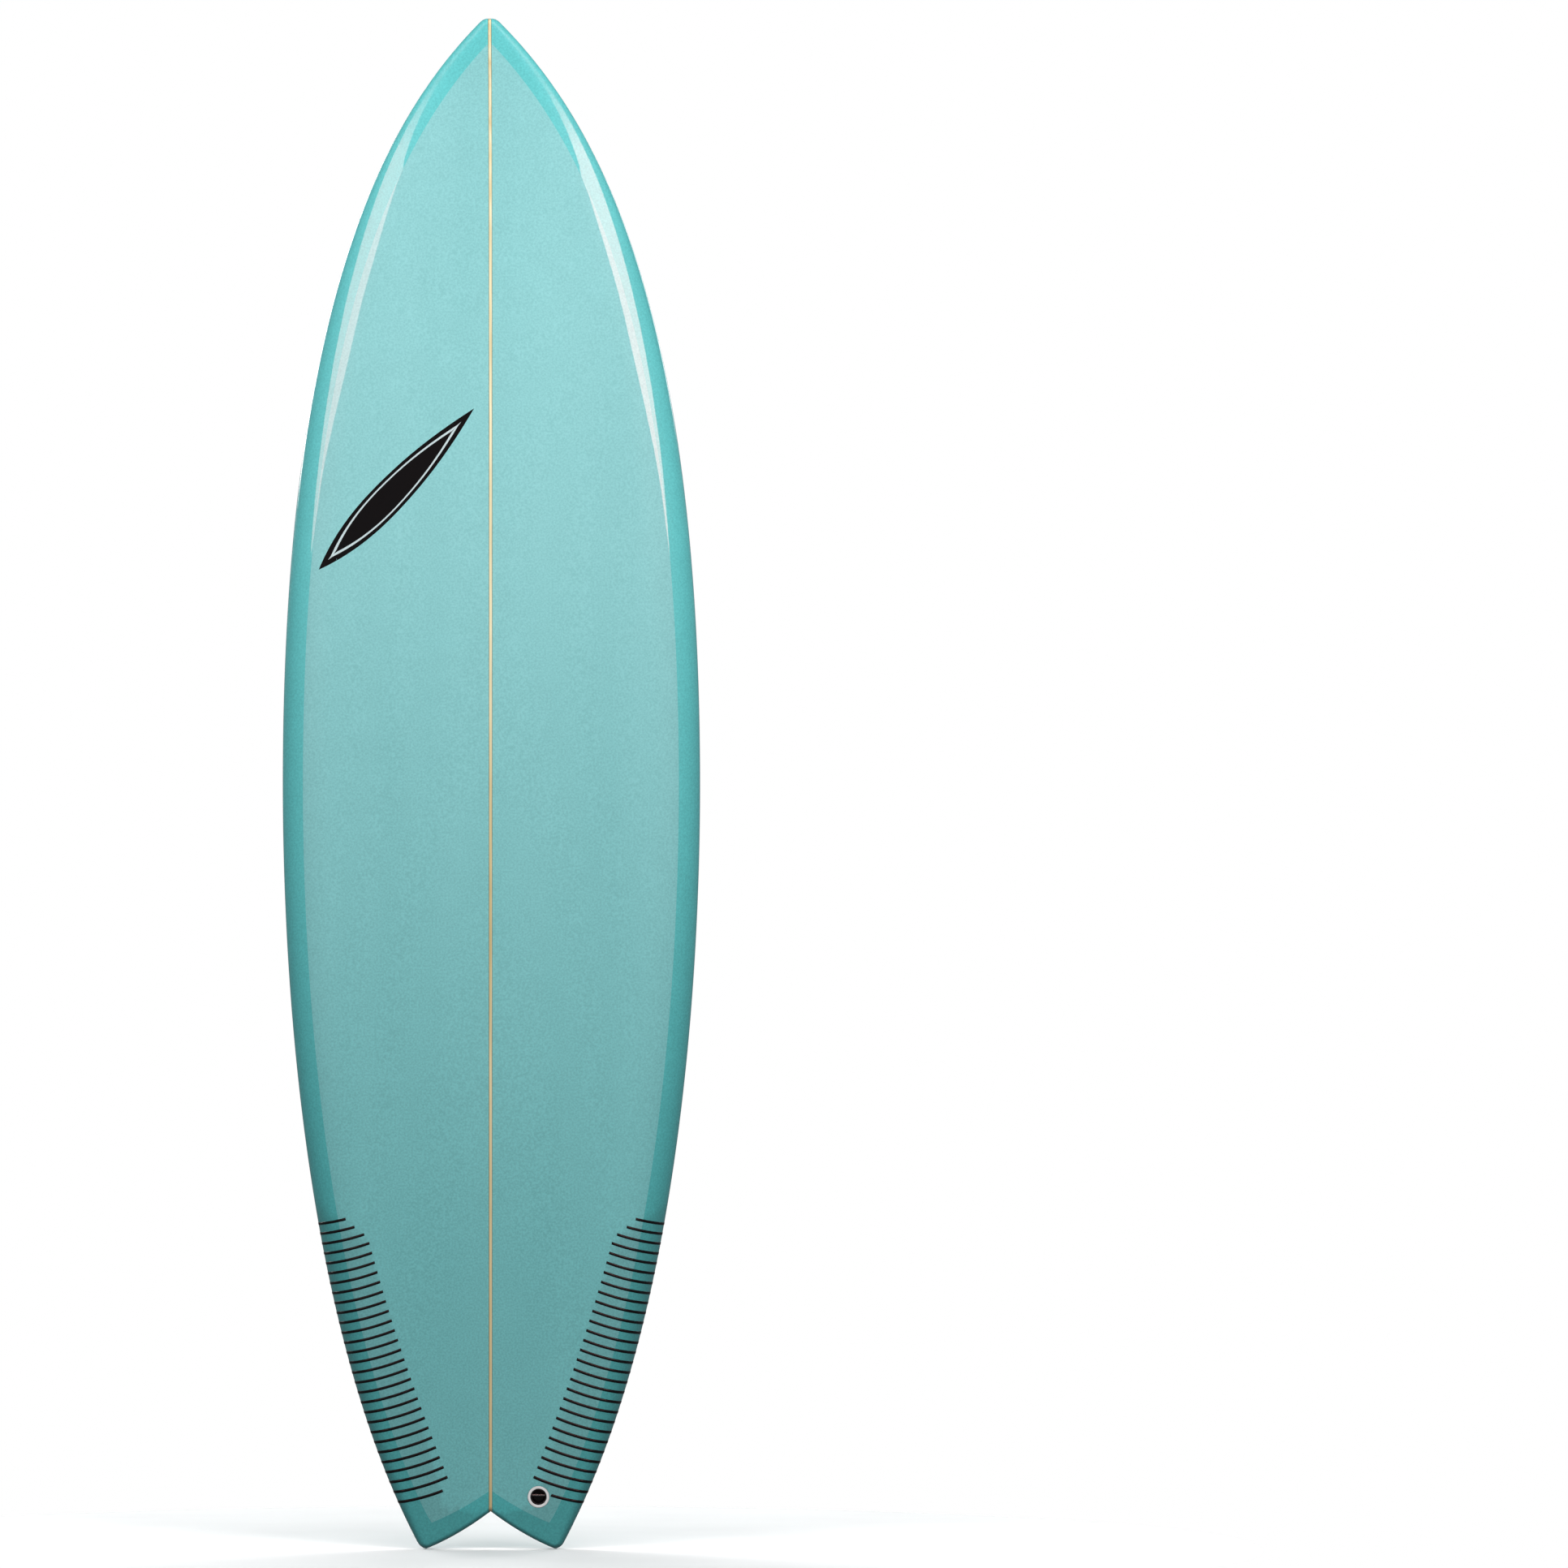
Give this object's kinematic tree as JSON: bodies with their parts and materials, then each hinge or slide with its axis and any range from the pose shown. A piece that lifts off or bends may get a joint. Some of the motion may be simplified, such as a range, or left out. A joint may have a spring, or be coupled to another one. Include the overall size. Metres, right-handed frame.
{
  "type": "surfboard",
  "caption": "Swallow-tail shortboard: foam core with a wooden stringer, tinted glass laminates, carbon tail patches, clip-in fin plugs and a leash plug.",
  "frame": {"origin": "between the two tail tips at the middle of their thickness, where a rack carries the upright board", "axes": "+Z along the board to the nose; +X to starboard; -Y out of the deck and +Y out of the bottom"},
  "size_m": [0.515, 0.1177, 1.88],
  "materials": {
    "foam": "matte closed-cell foam",
    "stringer_wood": "bare plywood strip under clear glass",
    "deck_glass": "pale turquoise resin tint, gloss",
    "bottom_glass": "turquoise resin tint, gloss, darker where doubled",
    "carbon": "black carbon strands under gloss resin",
    "fin_plug_plastic": "white moulded plastic",
    "leash_ring_plastic": "white moulded plastic",
    "leash_cup_plastic": "black moulded plastic",
    "steel": "stainless steel",
    "bumper_rubber": "soft elastomer"
  },
  "bodies": {
    "board": {"foam_core_port": "foam", "foam_core_starboard": "foam", "stringer": "stringer_wood", "deck_laminate": "deck_glass", "bottom_laminate": "bottom_glass", "tail_patch_port": "carbon", "tail_patch_starboard": "carbon", "leash_plug_body": "leash_ring_plastic", "leash_plug_cup": "leash_cup_plastic", "leash_plug_pin": "steel", "fin_plug_body_starboard": "fin_plug_plastic", "fin_plug_body_port": "fin_plug_plastic", "fin_plug_body_centre": "fin_plug_plastic", "fin_plug_bumper_starboard": "bumper_rubber", "fin_plug_bumper_port": "bumper_rubber", "fin_plug_bumper_centre": "bumper_rubber"},
    "roller_starboard": {"fin_plug_roller_starboard": "steel"},
    "grub_screw_starboard_front": {"grub_screw_starboard_front": "steel"},
    "grub_screw_starboard_rear": {"grub_screw_starboard_rear": "steel"},
    "roller_port": {"fin_plug_roller_port": "steel"},
    "grub_screw_port_front": {"grub_screw_port_front": "steel"},
    "grub_screw_port_rear": {"grub_screw_port_rear": "steel"},
    "roller_centre": {"fin_plug_roller_centre": "steel"},
    "grub_screw_centre_front": {"grub_screw_centre_front": "steel"},
    "grub_screw_centre_rear": {"grub_screw_centre_rear": "steel"}
  },
  "joints": [
    {"name": "roller_slide_starboard", "type": "slide", "parent": "board", "child": "roller_starboard", "axis": [-0.061, 0.0701, 0.9957], "range_m": [0, 0.0015], "stiffness_N_per_m": 2000, "springref_m": -0.001, "deforming": ["fin_plug_bumper_starboard"]},
    {"name": "grub_screw_travel_starboard_front", "type": "slide", "parent": "board", "child": "grub_screw_starboard_front", "axis": [0.6282, -0.7725, 0.0929], "range_m": [0, 0.002]},
    {"name": "grub_screw_travel_starboard_rear", "type": "slide", "parent": "board", "child": "grub_screw_starboard_rear", "axis": [-0.6006, -0.7993, 0.0195], "range_m": [0, 0.002]},
    {"name": "roller_slide_port", "type": "slide", "parent": "board", "child": "roller_port", "axis": [0.061, 0.0701, 0.9957], "range_m": [0, 0.0015], "stiffness_N_per_m": 2000, "springref_m": -0.001, "deforming": ["fin_plug_bumper_port"]},
    {"name": "grub_screw_travel_port_front", "type": "slide", "parent": "board", "child": "grub_screw_port_front", "axis": [-0.6282, -0.7725, 0.0929], "range_m": [0, 0.002]},
    {"name": "grub_screw_travel_port_rear", "type": "slide", "parent": "board", "child": "grub_screw_port_rear", "axis": [0.6006, -0.7993, 0.0195], "range_m": [0, 0.002]},
    {"name": "roller_slide_centre", "type": "slide", "parent": "board", "child": "roller_centre", "axis": [0, 0.135, 0.9909], "range_m": [0, 0.0015], "stiffness_N_per_m": 2000, "springref_m": -0.001, "deforming": ["fin_plug_bumper_centre"]},
    {"name": "grub_screw_travel_centre_front", "type": "slide", "parent": "board", "child": "grub_screw_centre_front", "axis": [0.6157, -0.7808, 0.1063], "range_m": [0, 0.002]},
    {"name": "grub_screw_travel_centre_rear", "type": "slide", "parent": "board", "child": "grub_screw_centre_rear", "axis": [-0.6157, -0.7808, 0.1063], "range_m": [0, 0.002]}
  ]
}
